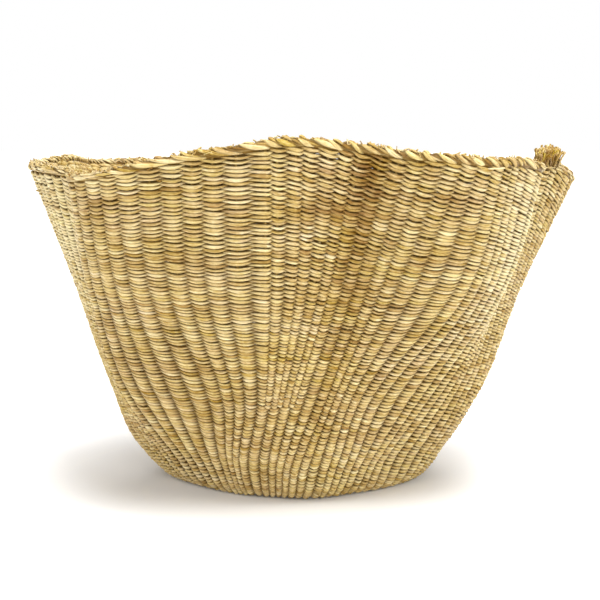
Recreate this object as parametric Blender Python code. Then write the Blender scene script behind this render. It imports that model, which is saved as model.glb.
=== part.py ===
"""Belly basket: a soft round basket with a wavy rim, twined by hand from straw.

Straight straw stakes run from the middle of the base up to the rim. Pairs of straw strands,
the weft, are twined round them in bands: each band is a ring with a channel for every stake,
and a wall that stands out in a rib over each place.
A plaited border closes the rim. Stakes lie in numbered places round the basket, counted from
the left of the front to the right and on round the back.

Metres, +Z up, -Y to the front. The underside of the base is at Z = 0.
"""

import functools
import math

import bmesh
import bpy
from mathutils import Vector

# Driving dimensions
TURN_RADIUS = 0.110
TURN_HEIGHT = 0.026
LOWER_RADIUS = 0.125
LOWER_HEIGHT = 0.070
MIDDLE_RADIUS = 0.150
MIDDLE_HEIGHT = 0.141
RIM_RADIUS = 0.200
RIM_HEIGHT = 0.235
POLE_OFFSET = 0.018
STAKE_RADIUS = 0.0012
WEFT_COVER = 0.0016
RIB_DEPTH = 0.0020
BORDER_WIDTH = 0.0084
CLEARANCE = 0.0003
GAP_SHARE = 0.75
CENTRE_RADIUS = 0.012
TAIL_WIDTH = 0.007
TAIL_HEIGHT = 0.012
TAIL_TIP_SHARE = 0.7

# Sizes that follow
CHANNEL_RADIUS = STAKE_RADIUS + CLEARANCE * math.sqrt(2)
HALF_WALL = CHANNEL_RADIUS + WEFT_COVER
HALF_GAP = CLEARANCE * GAP_SHARE
NUDGE = CLEARANCE

# Counts and places by stake number
PLACES = 88
PLACE_NUDGE = 0.5
EVERY_FIRST, EVERY_SECOND, EVERY_MAIN = 8, 4, 2
ADDED_PLACES = (9, 37, 53, 69)
TAIL_PLACE = 29
BORDER_SIDES = 6
TURN_STEPS, WALL_STEPS = 3, 2

# Each row is one key stake: its number, how much of the way to the turn ring is flat on the table,
# then its place on the turn, lower, middle and rim rings. A place is to the right, to the back and
# up, in shares of that ring's radius and height. All of it lies on the basket's outer skin.
KEY_SHARES = (
    (-2, 0.70, (-0.86, -0.40, 1.10), (-0.98, -0.40, 1.0), (-0.93, -0.50, 0.98), (-0.74, -0.56, 0.94)),
    (1, 0.70, (-0.66, -0.60, 1.10), (-0.73, -0.64, 1.0), (-0.75, -0.72, 0.99), (-0.60, -0.73, 0.96)),
    (4, 0.73, (-0.48, -0.69, 1.05), (-0.45, -0.81, 1.0), (-0.51, -0.85, 1.0), (-0.40, -0.80, 1.0)),
    (7, 0.72, (-0.35, -0.76, 1.0), (-0.26, -0.87, 1.0), (-0.25, -0.91, 1.01), (-0.19, -0.81, 1.03)),
    (9, 0.73, (-0.23, -0.79, 1.0), (-0.14, -0.89, 1.0), (-0.05, -0.89, 1.02), (-0.02, -0.79, 1.05)),
    (11, 0.725, (-0.12, -0.82, 1.0), (-0.01, -0.86, 1.0), (0.14, -0.81, 1.01), (0.20, -0.71, 1.03)),
    (13, 0.745, (-0.03, -0.83, 1.0), (0.10, -0.84, 1.0), (0.24, -0.79, 1.01), (0.31, -0.71, 1.015)),
    (16, 0.78, (0.16, -0.80, 1.0), (0.24, -0.81, 1.0), (0.43, -0.79, 1.0), (0.49, -0.72, 1.0)),
    (19, 0.78, (0.32, -0.73, 1.0), (0.41, -0.74, 1.0), (0.69, -0.70, 1.0), (0.64, -0.62, 0.985)),
    (22, 0.80, (0.48, -0.61, 1.0), (0.64, -0.60, 1.0), (0.84, -0.50, 0.99), (0.74, -0.45, 0.98)),
    (24, 0.83, (0.59, -0.51, 1.0), (0.76, -0.48, 1.0), (0.93, -0.32, 0.98), (0.82, -0.31, 0.96)),
    (27, 0.81, (0.81, -0.33, 1.0), (0.91, -0.32, 1.0), (0.94, -0.13, 0.97), (0.79, -0.13, 0.945)),
    (31, 0.80, (0.96, -0.08, 1.0), (1.05, -0.10, 1.0), (1.04, 0.09, 0.97), (0.92, 0.06, 0.95)),
    (35, 0.80, (0.97, 0.20, 1.0), (1.06, 0.21, 1.0), (1.10, 0.33, 0.95), (1.01, 0.28, 0.89)),
    (39, 0.81, (0.84, 0.49, 1.0), (0.93, 0.50, 1.0), (0.92, 0.59, 0.94), (0.80, 0.54, 0.885)),
    (43, 0.81, (0.64, 0.73, 1.0), (0.72, 0.74, 1.0), (0.69, 0.79, 0.94), (0.64, 0.78, 0.875)),
    (47, 0.80, (0.35, 0.85, 1.0), (0.43, 0.86, 1.0), (0.43, 0.91, 0.94), (0.37, 0.84, 0.885)),
    (51, 0.78, (0.07, 0.95, 1.0), (0.16, 0.96, 1.0), (0.16, 1.0, 0.95), (0.12, 0.96, 0.90)),
    (55, 0.78, (-0.27, 0.95, 1.0), (-0.22, 0.96, 1.0), (-0.20, 1.0, 0.95), (-0.19, 0.94, 0.91)),
    (59, 0.78, (-0.51, 0.85, 1.0), (-0.45, 0.86, 1.0), (-0.44, 0.88, 0.95), (-0.39, 0.79, 0.91)),
    (63, 0.78, (-0.73, 0.71, 1.0), (-0.67, 0.74, 1.0), (-0.68, 0.84, 0.96), (-0.63, 0.80, 0.93)),
    (67, 0.76, (-0.89, 0.49, 1.0), (-0.85, 0.54, 1.0), (-0.89, 0.65, 0.97), (-0.83, 0.62, 0.935)),
    (71, 0.74, (-1.03, 0.25, 1.0), (-1.02, 0.29, 1.0), (-1.0, 0.37, 0.98), (-0.88, 0.33, 0.96)),
    (75, 0.70, (-1.07, 0.04, 1.0), (-1.09, 0.03, 1.0), (-1.075, 0.08, 0.98), (-0.97, 0.08, 0.95)),
    (79, 0.70, (-1.05, -0.13, 1.0), (-1.07, -0.16, 1.0), (-1.035, -0.15, 0.98), (-0.90, -0.17, 0.95)),
    (83, 0.70, (-0.98, -0.26, 1.10), (-1.02, -0.30, 1.0), (-0.95, -0.33, 0.97), (-0.765, -0.40, 0.945)),
)
# The flat base has the rim of its centre pad, an inner ring and its edge. The inner ring is this
# share of the way from the pole to the edge, and the edge usually this share of the way to the turn.
BASE_RINGS = 3
INNER_SHARE = 0.55
FLAT_SHARE = 0.78
# The base's bands end this share of the way from the pad to the edge, where more stakes begin.
FIRST_BAND_SHARE, SECOND_BAND_SHARE = 0.33, 0.62

STRAW = (0.62, 0.45, 0.19, 1.0)
PALE_STRAW = (0.70, 0.54, 0.26, 1.0)
BROWN_STRAW = (0.45, 0.29, 0.12, 1.0)
STRAW_ROUGHNESS = 0.55
SHARP_ANGLE = math.radians(40)


# The outer skin

def ring_sizes():
    """Radius and height of the outer skin on each of the seven rings, from the pole outwards."""
    edge = FLAT_SHARE * TURN_RADIUS
    sizes = [(CENTRE_RADIUS, 0), (INNER_SHARE * edge, 0), (edge, 0)]
    sizes += [(TURN_RADIUS, TURN_HEIGHT), (LOWER_RADIUS, LOWER_HEIGHT)]
    sizes += [(MIDDLE_RADIUS, MIDDLE_HEIGHT), (RIM_RADIUS, RIM_HEIGHT)]
    return sizes


def ring_stations():
    """How far along a stake each ring lies, measured from the pole down the ideal profile."""
    sizes = ring_sizes()
    stations = [sizes[0][0]]
    for (radius, height), (next_radius, next_height) in zip(sizes, sizes[1:]):
        stations.append(stations[-1] + math.hypot(next_radius - radius, next_height - height))
    return stations


def key_rings():
    """The key stakes' places on all seven rings."""
    pole = Vector((-POLE_OFFSET, 0, 0))
    rings = []
    for ring, (radius, height) in enumerate(ring_sizes()[BASE_RINGS:]):
        shares = [row[2 + ring] for row in KEY_SHARES]
        rings.append([Vector((right * radius, back * radius, up * height)) for right, back, up in shares])
    edge = []
    for row, place in zip(KEY_SHARES, rings[0]):
        edge.append(pole.lerp(Vector((place.x, place.y, 0)), row[1]))
    centre = [pole + (place - pole).normalized() * CENTRE_RADIUS for place in edge]
    inner = [pole.lerp(place, INNER_SHARE) for place in edge]
    return [centre, inner, edge] + rings


STATIONS = ring_stations()
KEY_NUMBERS = [row[0] for row in KEY_SHARES]
KEY_RINGS = key_rings()


def mean_slope(before, after, step_before, step_after):
    """The slope at a knot, from the slopes on its two sides."""
    return (before * step_after + after * step_before) / (step_before + step_after)


def hermite(start, end, slope_start, slope_end, step, share):
    """A smooth curve from start to end with the given slopes, read at a share of the step."""
    left = 1 - share
    return (start * ((1 + 2 * share) * left * left) + slope_start * (share * left * left * step)
            + end * (share * share * (3 - 2 * share)) - slope_end * (share * share * left * step))


def key_slope(ring, key):
    """How a ring's place changes with the stake number, at a key stake."""
    last = len(KEY_NUMBERS)
    step_before = (KEY_NUMBERS[key] - KEY_NUMBERS[key - 1]) % PLACES
    step_after = (KEY_NUMBERS[(key + 1) % last] - KEY_NUMBERS[key]) % PLACES
    before = (ring[key] - ring[key - 1]) / step_before
    after = (ring[(key + 1) % last] - ring[key]) / step_after
    return mean_slope(before, after, step_before, step_after)


def ring_place(ring, number):
    """The place of a stake, by its number, on one ring."""
    number = (number - KEY_NUMBERS[0]) % PLACES + KEY_NUMBERS[0]
    key = max(k for k, known in enumerate(KEY_NUMBERS) if known <= number)
    following = (key + 1) % len(KEY_NUMBERS)
    step = (KEY_NUMBERS[following] - KEY_NUMBERS[key]) % PLACES
    share = (number - KEY_NUMBERS[key]) / step
    slopes = key_slope(ring, key), key_slope(ring, following)
    return hermite(ring[key], ring[following], *slopes, step, share)


def steady_slope(before, after):
    """A slope that never makes the curve rise past its knots: nothing at a flat or turning knot."""
    return 2 * before * after / (before + after) if before * after > 0 else 0


@functools.cache
def stake_path(number):
    """A stake's places and slopes on the seven rings."""
    places = [ring_place(ring, number) for ring in KEY_RINGS]
    steps = [b - a for a, b in zip(STATIONS, STATIONS[1:])]
    sides = [(b - a) / step for a, b, step in zip(places, places[1:], steps)]
    slopes = [sides[0]]
    for before, after, step_before, step_after in zip(sides, sides[1:], steps, steps[1:]):
        slope = mean_slope(before, after, step_before, step_after)
        slope.z = steady_slope(before.z, after.z)
        slopes.append(slope)
    slopes.append(sides[-1])
    return places, slopes


def skin_place(number, station):
    """The point of the outer skin on a stake, so far along it."""
    places, slopes = stake_path(number)
    station = min(max(station, STATIONS[0]), STATIONS[-1])
    ring = max(k for k, known in enumerate(STATIONS[:-1]) if known <= station)
    step = STATIONS[ring + 1] - STATIONS[ring]
    share = (station - STATIONS[ring]) / step
    return hermite(places[ring], places[ring + 1], slopes[ring], slopes[ring + 1], step, share)


@functools.cache
def wall_frame(number, station):
    """A point of the outer skin with the steps across the stake, out of the wall and along it.

    The step across follows the row of weft, and is long enough to count as one square to the stake.
    """
    low = max(station - NUDGE, STATIONS[0])
    high = min(station + NUDGE, STATIONS[-1])
    along = (skin_place(number, high) - skin_place(number, low)).normalized()
    row = skin_place(number + PLACE_NUDGE, station) - skin_place(number - PLACE_NUDGE, station)
    out = row.cross(along).normalized()
    across = row / row.dot(along.cross(out))
    return skin_place(number, station), across, out, along


def beside(number, station, across, out):
    """A point so far across and out from a stake's own line, which runs in the middle of the wall."""
    place, side, outward, _ = wall_frame(number, station)
    return place + side * across + outward * (out - HALF_WALL)


# Building tools

def straw_material(name, colour):
    material = bpy.data.materials.new(name)
    material.use_nodes = True
    shader = material.node_tree.nodes["Principled BSDF"]
    shader.inputs["Base Color"].default_value = colour
    shader.inputs["Roughness"].default_value = STRAW_ROUGHNESS
    shader.inputs["Metallic"].default_value = 0.0
    return material


def weft_straw():
    return straw_material("weft_straw", STRAW)


def stake_straw():
    return straw_material("stake_straw", PALE_STRAW)


def trimmed_straw():
    return straw_material("trimmed_straw", BROWN_STRAW)


def add_object(name, shape, material):
    """Turns a finished shape into a named object, smooth but for its sharp edges."""
    bmesh.ops.recalc_face_normals(shape, faces=shape.faces)
    for face in shape.faces:
        face.smooth = True
    mesh = bpy.data.meshes.new(name)
    shape.to_mesh(mesh)
    shape.free()
    mesh.set_sharp_from_angle(angle=SHARP_ANGLE)
    mesh.materials.append(material)
    thing = bpy.data.objects.new(name, mesh)
    bpy.context.scene.collection.objects.link(thing)
    return thing


def sweep(corners, loops, stations, place):
    """Sweeps a flat net of corners through the stations and returns the closed shape.

    loops are the net's faces, as lists of corner numbers, and place(corner, station) is
    where a corner lies at a station.
    """
    shape = bmesh.new()
    tag = shape.verts.layers.int.new("corner")
    verts = [shape.verts.new(place(corner, stations[0])) for corner in range(corners)]
    for corner, vert in enumerate(verts):
        vert[tag] = corner
    front = [shape.faces.new([verts[corner] for corner in loop]) for loop in loops]
    for step, station in enumerate(stations[1:]):
        made = bmesh.ops.extrude_face_region(shape, geom=front, use_keep_orig=step == 0)["geom"]
        for vert in (item for item in made if isinstance(item, bmesh.types.BMVert)):
            vert.co = place(vert[tag], station)
        front = [item for item in made if not isinstance(item, bmesh.types.BMVert)]
    return shape


def stepped(start, end, steps):
    return [start + (end - start) * step / steps for step in range(steps + 1)]


# Stakes

def main_places():
    return list(range(0, PLACES, EVERY_MAIN))


def band_ends():
    """Where the base's first two bands end."""
    centre, _, edge, *_ = STATIONS
    return [centre + share * (edge - centre) for share in (FIRST_BAND_SHARE, SECOND_BAND_SHARE)]


def stake_start(number):
    """How far from the pole a stake begins: every eighth place first, then those between."""
    centre, _, _, _, lower, *_ = STATIONS
    first_end, second_end = band_ends()
    if number in ADDED_PLACES:
        return lower
    if number % EVERY_FIRST == 0:
        return centre
    return first_end if number % EVERY_SECOND == 0 else second_end


def wall_top():
    """Where the twined wall ends and the border begins."""
    return STATIONS[-1] - BORDER_WIDTH


def stake_sides():
    """The corners of a stake's section, round from one side."""
    return ((1, 0), (0, 1), (-1, 0), (0, -1))


def add_stake(name, number, material):
    stations = [stake_start(number) + HALF_GAP]
    stations += [station for _, start, end, steps in bands() for station in stepped(start, end, steps)[1:]
                 if station > stations[0] + NUDGE]
    stations[-1] = wall_top() - HALF_GAP
    sides = stake_sides()

    def place(corner, station):
        across, out = sides[corner]
        return beside(number, station, across * STAKE_RADIUS, out * STAKE_RADIUS)

    shape = sweep(len(sides), [list(range(len(sides)))], stations, place)
    return add_object(name, shape, material)


def add_stakes(material):
    for count, number in enumerate(main_places(), start=1):
        add_stake(f"stake_{count:02d}", number, material)
    for count, number in enumerate(ADDED_PLACES, start=1):
        add_stake(f"added_stake_{count}", number, material)


# Weft bands

def bands():
    """Each band of weft: its name, where it starts and ends along the stakes, and its steps."""
    centre, _, edge, turn, lower, middle, _ = STATIONS
    first_end, second_end = band_ends()
    return (
        ("base_start_weft", centre, first_end, 1),
        ("base_inner_weft", first_end, second_end, 1),
        ("base_outer_weft", second_end, edge, 1),
        ("turn_weft", edge, turn, TURN_STEPS),
        ("lower_wall_weft", turn, lower, WALL_STEPS),
        ("middle_wall_weft", lower, middle, WALL_STEPS),
        ("upper_wall_weft", middle, wall_top(), WALL_STEPS),
    )


def outline_places(start):
    """Where a band that starts so far out has the corners of its outline: fewer near the pole."""
    first_end, second_end = band_ends()
    if start < first_end - NUDGE:
        return list(range(0, PLACES, EVERY_SECOND))
    if start < second_end - NUDGE:
        return main_places()
    return sorted(main_places() + list(ADDED_PLACES))


def place_paths(number, start, first):
    """A place's corners in a band's section, and the paths through them on its two sides.

    Each corner is the place and the steps across it and out of it. Each path runs from the outer
    skin to the inner: it passes round the left or the right of the stake's channel, or through
    one corner in the middle of the wall if there is no channel.
    """
    outer, inner = (number, 0, HALF_WALL), (number, 0, -HALF_WALL)
    if number not in outline_places(start):
        path = [first, first + 1, first + 2]
        return [outer, (number, 0, 0), inner], path, path
    channel = [(number, across * CHANNEL_RADIUS, out * CHANNEL_RADIUS) for across, out in stake_sides()]
    right, top, left, under = range(first + 1, first + 1 + len(channel))
    last = under + 1
    return [outer] + channel + [inner], [first, top, left, under, last], [first, top, right, under, last]


def band_net(start):
    """The net of a band's section: its corners, and its faces with a channel left for each stake.

    A channel is filled in if the band has no stake there. From the base's last band on, there are
    corners at every place. The wall has a rib over each, and a groove in its outer skin half way
    between two.
    """
    _, second_end = band_ends()
    numbers = outline_places(start) if start < second_end - NUDGE else list(range(PLACES))
    ribbed = start > STATIONS[BASE_RINGS - 1] - NUDGE
    corners, faces, lefts, rights = [], [], [], []
    for number in numbers:
        made, left, right = place_paths(number, start, len(corners))
        if stake_start(number) > start + NUDGE and left != right:
            faces.append(left[1:-1] + [right[len(right) // 2]])
        corners += made
        lefts.append(left)
        rights.append(right)
    for number, near, far in zip(numbers, rights, lefts[1:] + lefts[:1]):
        near_half, far_half = len(near) // 2, len(far) // 2
        outer_near, outer_far = near[near_half::-1], far[:far_half + 1]
        if ribbed:
            groove = len(corners)
            corners.append((number + PLACE_NUDGE, 0, HALF_WALL - RIB_DEPTH))
            faces.append(outer_near + [groove])
            faces.append([groove] + outer_far + outer_near[:1])
        else:
            faces.append(outer_near + outer_far)
        faces.append(far[far_half:] + near[:near_half - 1:-1])
    return corners, faces


def add_band(name, start, end, steps, material):
    corners, faces = band_net(start)
    stations = stepped(start, end, steps)
    stations[0] += HALF_GAP
    stations[-1] -= HALF_GAP

    def place(corner, station):
        number, across, out = corners[corner]
        return beside(number, station, across, out)

    return add_object(name, sweep(len(corners), faces, stations, place), material)


def add_base_centre(material):
    """The crossed straws that the base starts from, drawn in to one round pad."""
    numbers = outline_places(STATIONS[0])
    pole = Vector((-POLE_OFFSET, 0, 0))

    def place(corner, height):
        rim = skin_place(numbers[corner], STATIONS[0])
        radial = Vector((rim.x, rim.y, 0)) - pole
        flat = pole + radial * ((radial.length - CLEARANCE) / radial.length)
        return Vector((flat.x, flat.y, height))

    shape = sweep(len(numbers), [list(range(len(numbers)))], (0, 2 * HALF_WALL), place)
    return add_object("base_centre", shape, material)


# Rim

def border_section():
    """The plaited border's section: across the wall and along it, flat where it sits on the wall."""
    radius = BORDER_WIDTH / 2
    reach = radius / math.cos(math.pi / BORDER_SIDES)
    turns = [2 * math.pi * (side + 0.5) / BORDER_SIDES for side in range(BORDER_SIDES)]
    return [(reach * math.sin(turn), radius - reach * math.cos(turn)) for turn in turns]


def border_place(number, out, up):
    """A point of the border, so far out of the wall and up from its seat."""
    _, _, _, along = wall_frame(number, wall_top())
    return beside(number, wall_top(), 0, out) + along * (up + CLEARANCE)


def add_rim_border(material):
    section = border_section()
    shape = bmesh.new()
    rings = []
    for number in range(PLACES):
        ring = [shape.verts.new(border_place(number, out, up)) for out, up in section]
        rings.append([shape.edges.new(pair) for pair in zip(ring, ring[1:] + ring[:1])])
    for ring, following in zip(rings, rings[1:] + rings[:1]):
        bmesh.ops.bridge_loops(shape, edges=ring + following)
    return add_object("rim_border", shape, material)


def add_rim_tail(material):
    """The plait's trimmed ends, which stand up from one side of the border where it finishes."""
    half = TAIL_WIDTH / 2
    seat = BORDER_WIDTH + CLEARANCE
    first, last = TAIL_PLACE, TAIL_PLACE + EVERY_MAIN
    middle = (first + last) / 2
    corners = [(number, -half) for number in (first, middle, last)]
    corners += [(number, half) for number in (last, middle, first)]
    faces = [[0, 1, 4, 5], [1, 2, 3, 4]]

    def place(corner, up):
        number, out = corners[corner]
        taper = 1 - (1 - TAIL_TIP_SHARE) * (up - seat) / TAIL_HEIGHT
        return border_place(middle + (number - middle) * taper, out * taper, up)

    shape = sweep(len(corners), faces, (seat, seat + TAIL_HEIGHT), place)
    return add_object("rim_tail", shape, material)


def main():
    for thing in list(bpy.data.objects):
        bpy.data.objects.remove(thing, do_unlink=True)
    weft, stakes = weft_straw(), stake_straw()
    add_base_centre(stakes)
    for name, start, end, steps in bands():
        add_band(name, start, end, steps, weft)
    add_stakes(stakes)
    add_rim_border(weft)
    add_rim_tail(trimmed_straw())


main()
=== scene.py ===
"""Belly basket: a soft round basket with a wavy rim, twined by hand from straw.

Each row of the wall is two straw strands that go round the basket together. At every stake one
passes outside and the other inside, and between the stakes they cross. The wall follows the same
skin as the frame: stakes lie in numbered places round the basket, counted from the left of the
front to the right and on round the back, and a station is how far along a stake a point lies,
measured from the pole of the base.

Metres, +Z up, -Y to the front. The underside of the base is at Z = 0.
"""

import math

import bmesh
import bpy
import numpy as np
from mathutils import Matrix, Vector


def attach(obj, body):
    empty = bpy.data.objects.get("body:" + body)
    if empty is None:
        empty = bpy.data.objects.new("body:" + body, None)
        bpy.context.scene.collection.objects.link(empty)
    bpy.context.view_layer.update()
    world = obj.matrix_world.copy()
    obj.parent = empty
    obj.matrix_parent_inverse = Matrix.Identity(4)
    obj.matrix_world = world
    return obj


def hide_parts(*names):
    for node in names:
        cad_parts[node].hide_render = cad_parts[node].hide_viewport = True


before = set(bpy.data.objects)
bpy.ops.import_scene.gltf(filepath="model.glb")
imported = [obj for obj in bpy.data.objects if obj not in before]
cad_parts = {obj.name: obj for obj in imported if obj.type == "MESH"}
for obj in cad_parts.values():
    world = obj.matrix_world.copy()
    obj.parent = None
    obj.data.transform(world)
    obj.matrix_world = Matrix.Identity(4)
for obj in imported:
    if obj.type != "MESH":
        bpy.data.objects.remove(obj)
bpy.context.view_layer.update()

bl_info = {
    "name": "Belly basket",
    "version": (1, 0, 0),
    "blender": (4, 5, 0),
    "location": "3D View > Sidebar > Basket",
    "description": "Twines the straw of a belly basket over its frame, and sets up the studio",
    "category": "Object",
}

# Places round the rim: stakes stand at every whole number, and between them in the four added spans.
PLACES = 88
ADDED_SPANS = ((8, 11), (36, 39), (52, 55), (68, 71))
TAIL_PLACES = (29, 31)
POLE_OFFSET = 0.018
CENTRE_RADIUS = 0.012
INNER_SHARE, FLAT_SHARE = 0.55, 0.78
FIRST_BAND_SHARE, SECOND_BAND_SHARE = 0.33, 0.62

# Each row is one key stake: its number, how much of the way to the turn ring is flat on the table,
# then its place on the turn, lower, middle and rim rings. A place is to the right, to the back and
# up, in shares of that ring's radius and height.
KEY_SHARES = (
    (-2, 0.70, (-0.86, -0.40, 1.10), (-0.98, -0.40, 1.0), (-0.93, -0.50, 0.98), (-0.74, -0.56, 0.94)),
    (1, 0.70, (-0.66, -0.60, 1.10), (-0.73, -0.64, 1.0), (-0.75, -0.72, 0.99), (-0.60, -0.73, 0.96)),
    (4, 0.73, (-0.48, -0.69, 1.05), (-0.45, -0.81, 1.0), (-0.51, -0.85, 1.0), (-0.40, -0.80, 1.0)),
    (7, 0.72, (-0.35, -0.76, 1.0), (-0.26, -0.87, 1.0), (-0.25, -0.91, 1.01), (-0.19, -0.81, 1.03)),
    (9, 0.73, (-0.23, -0.79, 1.0), (-0.14, -0.89, 1.0), (-0.05, -0.89, 1.02), (-0.02, -0.79, 1.05)),
    (11, 0.725, (-0.12, -0.82, 1.0), (-0.01, -0.86, 1.0), (0.14, -0.81, 1.01), (0.20, -0.71, 1.03)),
    (13, 0.745, (-0.03, -0.83, 1.0), (0.10, -0.84, 1.0), (0.24, -0.79, 1.01), (0.31, -0.71, 1.015)),
    (16, 0.78, (0.16, -0.80, 1.0), (0.24, -0.81, 1.0), (0.43, -0.79, 1.0), (0.49, -0.72, 1.0)),
    (19, 0.78, (0.32, -0.73, 1.0), (0.41, -0.74, 1.0), (0.69, -0.70, 1.0), (0.64, -0.62, 0.985)),
    (22, 0.80, (0.48, -0.61, 1.0), (0.64, -0.60, 1.0), (0.84, -0.50, 0.99), (0.74, -0.45, 0.98)),
    (24, 0.83, (0.59, -0.51, 1.0), (0.76, -0.48, 1.0), (0.93, -0.32, 0.98), (0.82, -0.31, 0.96)),
    (27, 0.81, (0.81, -0.33, 1.0), (0.91, -0.32, 1.0), (0.94, -0.13, 0.97), (0.79, -0.13, 0.945)),
    (31, 0.80, (0.96, -0.08, 1.0), (1.05, -0.10, 1.0), (1.04, 0.09, 0.97), (0.92, 0.06, 0.95)),
    (35, 0.80, (0.97, 0.20, 1.0), (1.06, 0.21, 1.0), (1.10, 0.33, 0.95), (1.01, 0.28, 0.89)),
    (39, 0.81, (0.84, 0.49, 1.0), (0.93, 0.50, 1.0), (0.92, 0.59, 0.94), (0.80, 0.54, 0.885)),
    (43, 0.81, (0.64, 0.73, 1.0), (0.72, 0.74, 1.0), (0.69, 0.79, 0.94), (0.64, 0.78, 0.875)),
    (47, 0.80, (0.35, 0.85, 1.0), (0.43, 0.86, 1.0), (0.43, 0.91, 0.94), (0.37, 0.84, 0.885)),
    (51, 0.78, (0.07, 0.95, 1.0), (0.16, 0.96, 1.0), (0.16, 1.0, 0.95), (0.12, 0.96, 0.90)),
    (55, 0.78, (-0.27, 0.95, 1.0), (-0.22, 0.96, 1.0), (-0.20, 1.0, 0.95), (-0.19, 0.94, 0.91)),
    (59, 0.78, (-0.51, 0.85, 1.0), (-0.45, 0.86, 1.0), (-0.44, 0.88, 0.95), (-0.39, 0.79, 0.91)),
    (63, 0.78, (-0.73, 0.71, 1.0), (-0.67, 0.74, 1.0), (-0.68, 0.84, 0.96), (-0.63, 0.80, 0.93)),
    (67, 0.76, (-0.89, 0.49, 1.0), (-0.85, 0.54, 1.0), (-0.89, 0.65, 0.97), (-0.83, 0.62, 0.935)),
    (71, 0.74, (-1.03, 0.25, 1.0), (-1.02, 0.29, 1.0), (-1.0, 0.37, 0.98), (-0.88, 0.33, 0.96)),
    (75, 0.70, (-1.07, 0.04, 1.0), (-1.09, 0.03, 1.0), (-1.075, 0.08, 0.98), (-0.97, 0.08, 0.95)),
    (79, 0.70, (-1.05, -0.13, 1.0), (-1.07, -0.16, 1.0), (-1.035, -0.15, 0.98), (-0.90, -0.17, 0.95)),
    (83, 0.70, (-0.98, -0.26, 1.10), (-1.02, -0.30, 1.0), (-0.95, -0.33, 0.97), (-0.765, -0.40, 0.945)),
)

# Patches of paler or browner straw on the wall: place, station, half widths in both, and strength.
# The first four, down the crease at the front, are browner straw and the crease's painted shade together.
TONE_AND_SHADE_PATCHES = (
    (11.6, 0.334, 0.8, 0.012, -0.42),
    (11.7, 0.290, 1.2, 0.050, -0.28),
    (12.8, 0.215, 1.4, 0.045, -0.20),
    (13.8, 0.165, 1.6, 0.030, -0.14),
    (9.8, 0.303, 1.7, 0.010, -0.20),
    (0.0, 0.322, 1.4, 0.012, -0.22),
    (4.0, 0.327, 0.8, 0.006, -0.22),
    (17.0, 0.275, 1.2, 0.007, -0.16),
    (4.5, 0.283, 1.5, 0.010, -0.12),
    (6.0, 0.150, 3.0, 0.012, -0.10),
    (7.0, 0.270, 2.2, 0.050, 0.10),
    (25.0, 0.290, 4.0, 0.060, 0.42),
    (7.5, 0.318, 2.0, 0.012, 0.10),
    (80.0, 0.300, 4.5, 0.060, 0.34),
)

# Ends of straw that stick out of the wall: place, station, length, lean to the right, and tone.
LOOSE_ENDS = (
    (3.6, 0.3340, 0.0060, -0.3, 0.10),
    (3.0, 0.3440, 0.0050, 0.9, 0.05),
    (77.2, 0.3265, 0.0045, -0.6, 0.60),
    (77.5, 0.3240, 0.0035, 0.2, 0.50),
    (82.0, 0.3440, 0.0050, 0.5, 0.15),
    (18.0, 0.3430, 0.0080, 1.4, 0.95),
    (16.0, 0.0960, 0.0030, 0.1, 0.45),
    (9.5, 0.1750, 0.0040, 1.2, 0.35),
    (24.5, 0.2100, 0.0045, -1.1, 0.80),
)


class BasketShape(bpy.types.PropertyGroup):
    """Sizes of the skin that the straw follows."""
    turn_radius: bpy.props.FloatProperty(
        name="Turn radius", description="Radius where the base turns up into the wall",
        default=0.110, unit="LENGTH")
    turn_height: bpy.props.FloatProperty(
        name="Turn height", description="Height where the base turns up into the wall",
        default=0.026, unit="LENGTH")
    lower_radius: bpy.props.FloatProperty(
        name="Lower radius", description="Radius of the wall where more stakes are added",
        default=0.125, unit="LENGTH")
    lower_height: bpy.props.FloatProperty(
        name="Lower height", description="Height where more stakes are added",
        default=0.070, unit="LENGTH")
    middle_radius: bpy.props.FloatProperty(
        name="Middle radius", description="Radius half way up the wall", default=0.150, unit="LENGTH")
    middle_height: bpy.props.FloatProperty(
        name="Middle height", description="Height half way up the wall", default=0.141, unit="LENGTH")
    rim_radius: bpy.props.FloatProperty(
        name="Rim radius", description="Radius of the rim", default=0.200, unit="LENGTH")
    rim_height: bpy.props.FloatProperty(
        name="Rim height", description="Height of the rim", default=0.235, unit="LENGTH")
    half_wall: bpy.props.FloatProperty(
        name="Half wall", description="Half the thickness of the twined wall",
        default=0.0032, unit="LENGTH")
    border_width: bpy.props.FloatProperty(
        name="Border width", description="Height of the border above the wall",
        default=0.0084, unit="LENGTH")
    plait_width: bpy.props.FloatProperty(
        name="Plait width", description="Height of the plait along the top of the border",
        default=0.0056, unit="LENGTH")


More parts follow.
